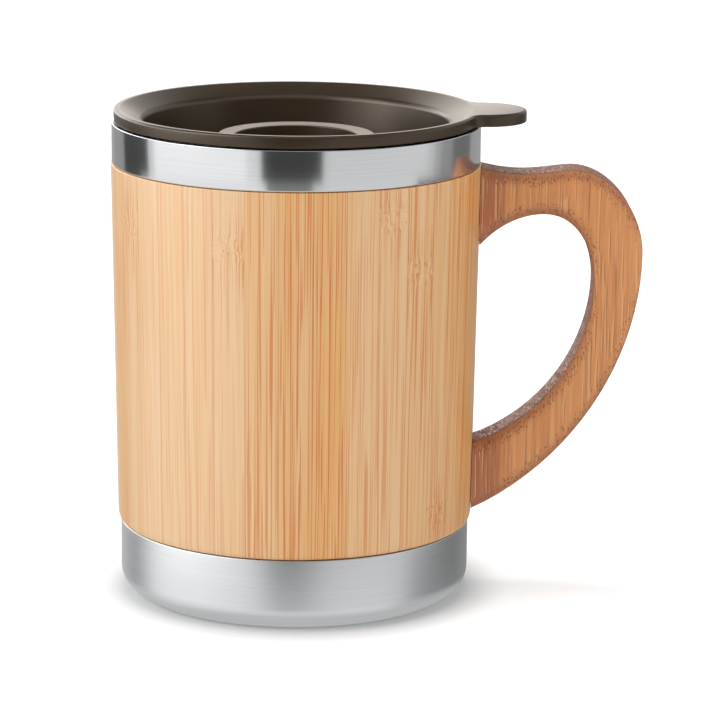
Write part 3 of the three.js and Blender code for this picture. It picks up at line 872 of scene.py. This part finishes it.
studio = {
    "floorR": 4.0,
    "floor": (0.8, 0.8, 0.8, 1),
    "nearGlow": (0.45, 0.45, 0.45, 1),  # of the floor round the mug, and far from it
    "farGlow": (0.55, 0.55, 0.55, 1),
    "glowFrom": 0.06,
    "glowTo": 0.35,
    "contactShadowReach": 0.015,  # how far out the painted contact shadow darkens the floor beside the mug
    "contactFrom": 0.4,  # openness where the painted contact shadow is darkest, and where it ends
    "contactTo": 0.95,
    "ambient": (0.46, 0.46, 0.46, 1),
    # cards that only reflections see: from and to in degrees round from the camera, from and to
    # in degrees up, and brightness
    "cards": [
        # level with the band
        (-21, 16, -13, 0, 0.055), (16, 88, -13, 0, 0.74), (88, 94, -13, 0, 0.62),
        (94, 100, -13, 0, 0.44), (100, 112, -13, 0, 0.32), (112, 136, -13, 0, 0.17),
        (136, 173, -13, 0, 0.37), (173, 204, -13, -6, 0.42), (-156, -133, -13, 0, 0.33),
        (-133, -103, -13, 0, 0.06), (-103, -97, -13, 0, 0.75), (-97, -30, -13, 0, 1.06),
        (-30, -21, -13, 0, 0.85),
        # level with the foot
        (-18, 10, -26, -13, 0.28), (10, 80, -26, -13, 0.76), (80, 140, -26, -13, 0.16),
        (140, 180, -26, -13, 0.3), (-180, -140, -26, -13, 0.5), (-140, -112, -26, -13, 0.22),
        (-112, -18, -26, -13, 0.95),
        # the floor beside the mug
        (-112, 75, -45, -26, 0.9), (75, 180, -45, -26, 0.55), (-180, -112, -45, -26, 0.6),
        # above the mug
        (100, 173, 0, 38, 0.7), (-156, -60, 0, 24, 3.8), (-156, -60, 24, 38, 1.2),
        (-60, -30, 0, 38, 0.5), (-30, 60, 0, 38, 0.12), (60, 100, 0, 38, 0.9),
    ],
    "backCard": (173, 204, -6, 38, 2.25),
    "backTint": (1, 0.93, 0.86, 1),
    "cardFar": 1.6,
    "cardLevel": 0.1,  # height that the degrees up are counted from
    "cardStep": 4,  # degrees to a facet
    "flatStep": 8,
    # flat cards: from and to in degrees round, height and brightness
    "flats": [(-80, 80, 1.3, 0.7), (80, 280, 1.3, 0.1), (0, 360, -1.5, 0.6)],
    "lampAim": 0.05,  # height that the lamps point at
    # lamps: degrees round from the camera, degrees up, metres away, metres across, watts
    # and whether reflections see them
    "lamps": {
        "leftSoftbox": (-60, 30, 1.4, 1.0, 9.2, True),
        "rightSoftbox": (52, 30, 1.5, 1.2, 6.2, False),
        "topSoftbox": (178, 84, 1.4, 0.3, 5.0, False),
    },
}


def direction(around, up):
    a, e = math.radians(around), math.radians(up)
    return Vector((math.sin(a) * math.cos(e), -math.cos(a) * math.cos(e), math.sin(e)))


def glow(name, strength, tint=(1, 1, 1, 1)):
    material = bpy.data.materials.new(name)
    material.use_nodes = True
    shader = material.node_tree.nodes["Principled BSDF"]
    shader.inputs["Base Color"].default_value = (0, 0, 0, 1)
    shader.inputs["Specular IOR Level"].default_value = 0
    shader.inputs["Emission Color"].default_value = tint
    shader.inputs["Emission Strength"].default_value = strength
    return material


def onlyReflected(card):
    card.visible_camera = False
    card.visible_diffuse = False
    card.visible_shadow = False
    card.visible_transmission = False


def addCard(first, last, low, high, strength, tint=(1, 1, 1, 1)):
    bm = bmesh.new()
    far = studio["cardFar"]
    start = direction(first, 0) * far
    ends = []
    for up in (low, high):
        level = studio["cardLevel"] + far * math.tan(math.radians(up))
        ends.append(bm.verts.new(start + Vector((0, 0, level))))
    edge = bm.edges.new(ends)
    steps = max(4, (last - first) // studio["cardStep"])
    spinOn(bm, [*ends, edge], math.radians(last - first), steps)
    card = meshObject("card", bm)
    card.data.materials.append(glow("cardGlow", strength, tint))
    onlyReflected(card)


def addFlat(first, last, level, strength):
    bm = bmesh.new()
    middle = bm.verts.new((0, 0, level))
    outer = bm.verts.new(direction(first, 0) * studio["cardFar"] + Vector((0, 0, level)))
    edge = bm.edges.new((middle, outer))
    steps = (last - first) // studio["flatStep"]
    spinOn(bm, [middle, outer, edge], math.radians(last - first), steps)
    tidy(bm)
    card = meshObject("flat", bm)
    card.data.materials.append(glow("flatGlow", strength))
    onlyReflected(card)


def seenWhite(tree):
    rays = tree.node("LightPath", out="Is Camera Ray")
    seen = rays + rays.other("Is Glossy Ray") + rays.other("Is Transmission Ray")
    return seen.maths("MINIMUM", seen, 1.0)


def addFloor():
    bm = bmesh.new()
    bmesh.ops.create_circle(bm, cap_ends=True, segments=64, radius=studio["floorR"])
    floor = meshObject("floor", bm)
    material = bpy.data.materials.new("paleFloor")
    material.use_nodes = True
    shader = material.node_tree.nodes["Principled BSDF"]
    shader.inputs["Base Color"].default_value = studio["floor"]
    shader.inputs["Roughness"].default_value = 0.9
    shader.inputs["Specular IOR Level"].default_value = 0
    shader.inputs["Emission Strength"].default_value = 1
    tree = Wire(material.node_tree)
    place = tree.node("TexCoord", out="Object")
    far = tree.node("VectorMath", {"operation": "LENGTH"}, {0: place}, out="Value")
    level = far.rise(studio["glowFrom"], studio["glowTo"]).mix(studio["nearGlow"], studio["farGlow"])
    # painted contact shadow: the floor's glow fades where the mug closes it in
    clear = tree.node("AmbientOcclusion", {}, {"Distance": studio["contactShadowReach"]}, out="AO")
    clear = clear.rise(studio["contactFrom"], studio["contactTo"])
    feed(shader, {"Emission Color": (seenWhite(tree) * clear).mix((0, 0, 0, 1), level)})
    floor.data.materials.append(material)
    floor.visible_glossy = False


def addWorld():
    world = bpy.data.worlds.new("studio")
    world.use_nodes = True
    scene.world = world
    background = world.node_tree.nodes["Background"]
    feed(background, {"Color": seenWhite(Wire(world.node_tree)).mix(studio["ambient"], (1, 1, 1, 1))})


def addLamp(name, around, up, far, across, watts, seen):
    data = bpy.data.lights.new(name, "AREA")
    data.shape = "RECTANGLE"
    data.size = across
    data.size_y = across
    data.energy = watts
    lamp = bpy.data.objects.new(name, data)
    scene.collection.objects.link(lamp)
    toward = direction(around, up)
    lamp.location = toward * far + Vector((0, 0, studio["lampAim"]))
    lamp.rotation_euler = toward.to_track_quat("Z", "Y").to_euler()
    lamp.visible_glossy = seen


addFloor()
addWorld()
for card in studio["cards"]:
    addCard(*card)
addCard(*studio["backCard"], studio["backTint"])
for card in studio["flats"]:
    addFlat(*card)
for name, values in studio["lamps"].items():
    addLamp(name, *values)
print("studio set")


# Camera at the photograph's place

view = {"place": (0, -784.3, 233.95), "lens": 172.92, "sensor": 36, "nearest": 0.01,
        "tilt": 0.2258, "yaw": 0.0192, "roll": 0.0093}  # turns in radians


def addCamera():
    tilt, yaw, roll = view["tilt"], view["yaw"], view["roll"]
    ahead = Vector((math.sin(yaw) * math.cos(tilt), math.cos(yaw) * math.cos(tilt), -math.sin(tilt)))
    level = Vector((math.cos(yaw), -math.sin(yaw), 0))
    upward = level.cross(ahead)
    right = level * math.cos(roll) + upward * math.sin(roll)
    top = upward * math.cos(roll) - level * math.sin(roll)
    data = bpy.data.cameras.new("camera")
    data.lens = view["lens"]
    data.sensor_width = view["sensor"]
    data.clip_start = view["nearest"]
    camera = bpy.data.objects.new("camera", data)
    turn = Matrix((right, top, -ahead)).transposed().to_4x4()
    camera.matrix_world = Matrix.Translation(Vector(view["place"]) * mm) @ turn
    scene.collection.objects.link(camera)
    scene.camera = camera


addCamera()
scene.view_settings.view_transform = "Standard"
